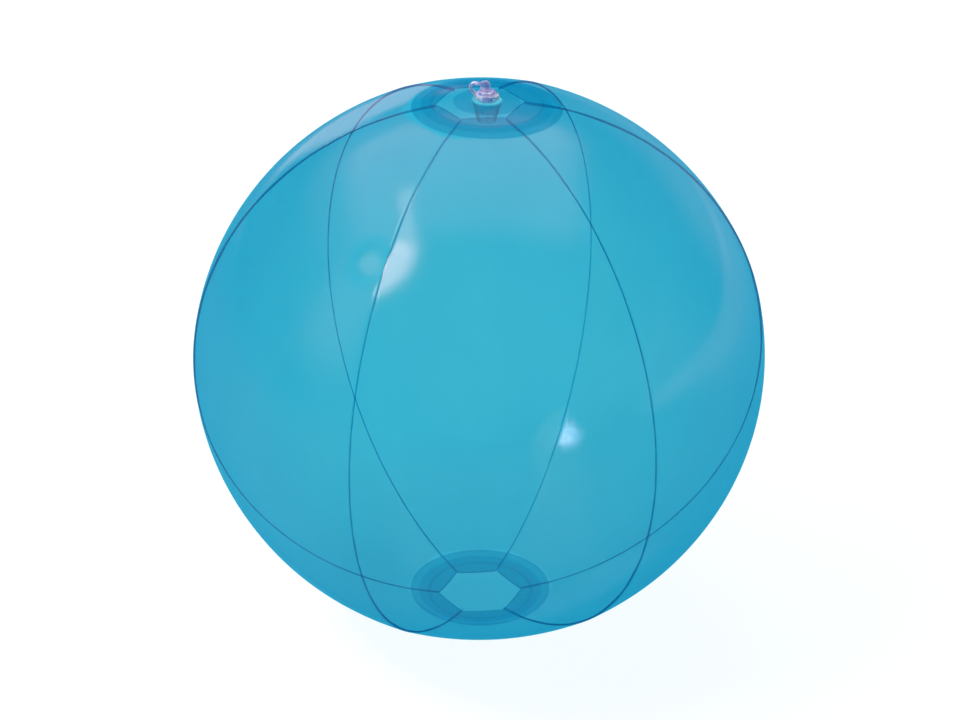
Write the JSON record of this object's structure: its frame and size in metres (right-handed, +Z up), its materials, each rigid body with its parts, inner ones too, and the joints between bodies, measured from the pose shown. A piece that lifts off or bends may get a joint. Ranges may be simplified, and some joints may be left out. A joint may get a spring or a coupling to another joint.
{
  "type": "inflatable beach ball",
  "caption": "See-through inflatable beach ball of welded plastic film, with round end discs and a push-in air valve with a tethered plug.",
  "frame": {"origin": "middle of the small flat where the bottom disc rests on the ground", "axes": "+Z up through the ball's poles to the valve, +X towards the side the valve is a little off centre to, -X the strap's side"},
  "size_m": [0.2798, 0.2798, 0.2875],
  "materials": {
    "film": "see-through aqua PVC film, glossy",
    "disc_film": "see-through aqua PVC film, glossy, with a welded band",
    "clear_pvc": "soft clear PVC moulding, slightly milky"
  },
  "bodies": {
    "ball": {"gore_panel_1": "film", "gore_panel_2": "film", "gore_panel_3": "film", "gore_panel_4": "film", "gore_panel_5": "film", "gore_panel_6": "film", "top_disc": "disc_film", "bottom_disc": "disc_film", "valve_flange": "clear_pvc", "valve_fold": "clear_pvc"},
    "stem": {"valve_stem": "clear_pvc", "valve_strap": "clear_pvc"},
    "plug": {"valve_plug": "clear_pvc"},
    "flap": {"check_flap": "clear_pvc"}
  },
  "joints": [
    {"name": "valve_push", "type": "slide", "parent": "ball", "child": "stem", "axis": [0.0244, 0, 0.9997], "range_m": [-0.0025, 0.009], "deforming": ["valve_fold"]},
    {"name": "plug_pull", "type": "slide", "parent": "stem", "child": "plug", "axis": [0.0244, 0, 0.9997], "range_m": [0, 0.009], "deforming": ["valve_strap"]},
    {"name": "flap_hinge", "type": "hinge", "parent": "stem", "child": "flap", "pos_m": [0.0031, 0.0041, 0.26482], "axis": [0.9997, 0, -0.0244], "range_deg": [0, 60], "stiffness_Nm_per_rad": 0.0000023, "springref_deg": -20.05}
  ]
}
